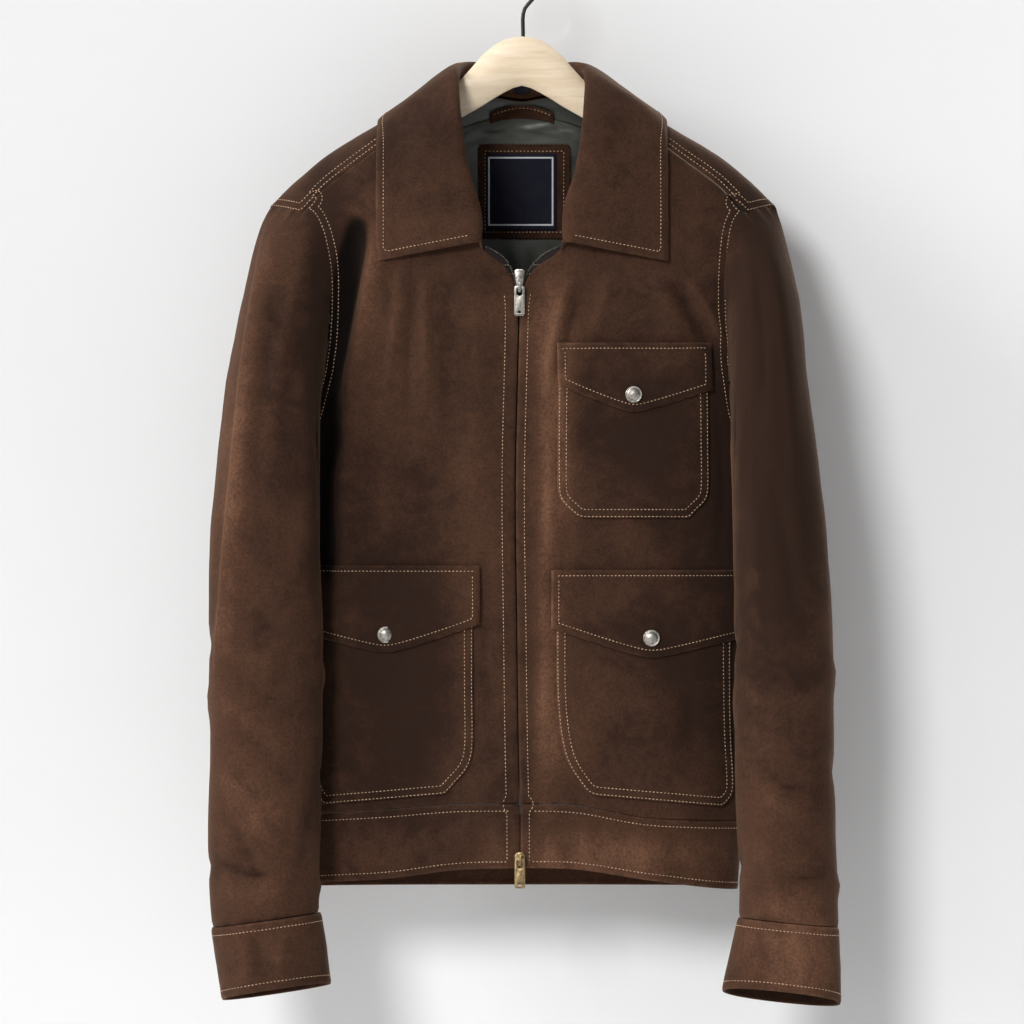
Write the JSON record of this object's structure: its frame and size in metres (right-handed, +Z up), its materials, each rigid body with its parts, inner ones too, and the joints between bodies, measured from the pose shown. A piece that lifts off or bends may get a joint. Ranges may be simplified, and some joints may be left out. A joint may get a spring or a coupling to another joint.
{
  "type": "suede jacket hanging from a hook",
  "caption": "Brown suede jacket with a fold collar, zip front, flap patch pockets and cuffs, hanging open at the neck on a wooden hanger with a wire hook.",
  "frame": {"origin": "top of the inside of the hanger's hook, where a rail carries it", "axes": "+Z up, the jacket's front faces -Y, the wearer's left is +X"},
  "size_m": [0.5531, 0.1648, 0.9212],
  "materials": {
    "suede": "brown suede with a soft mottled nap",
    "suede_dark": "darker brown suede",
    "lining": "dark olive satin",
    "label": "dark navy woven",
    "tape": "dark brown woven tape",
    "wood": "pale natural wood, satin",
    "black_wire": "black coated wire",
    "silver": "antique silver, worn",
    "brass": "antique brass"
  },
  "bodies": {
    "jacket": {"front_right": "suede", "front_left": "suede", "back": "suede", "waistband_right": "suede", "waistband_left": "suede", "waistband_back": "suede", "pocket_chest": "suede", "pocket_right": "suede", "pocket_left": "suede", "flap_chest": "suede", "flap_right": "suede", "flap_left": "suede", "snap_chest": "silver", "snap_right": "silver", "snap_left": "silver", "top_sleeve_right": "suede", "top_sleeve_left": "suede", "under_sleeve_right": "suede", "under_sleeve_left": "suede", "cuff_right": "suede", "cuff_left": "suede", "collar": "suede", "zip_tape_right": "tape", "zip_tape_left": "tape", "zip_chain": "brass", "slider_top": "silver", "slider_bottom": "brass", "lining_back": "lining", "neck_patch": "suede_dark", "neck_label": "label", "hang_loop": "suede_dark", "size_tag": "label", "hanger": "wood", "hook": "black_wire"},
    "upper_pull": {"pull_top": "silver"},
    "lower_pull": {"pull_bottom": "brass"}
  },
  "joints": [
    {"name": "upper_pull_turn", "type": "hinge", "parent": "jacket", "child": "upper_pull", "pos_m": [-0.0022, -0.06625, -0.2915], "axis": [-1, 0, 0], "range_deg": [0, 165]},
    {"name": "lower_pull_turn", "type": "hinge", "parent": "jacket", "child": "lower_pull", "pos_m": [-0.0018, -0.06235, -0.7895], "axis": [-1, 0, 0], "range_deg": [0, 165]}
  ]
}
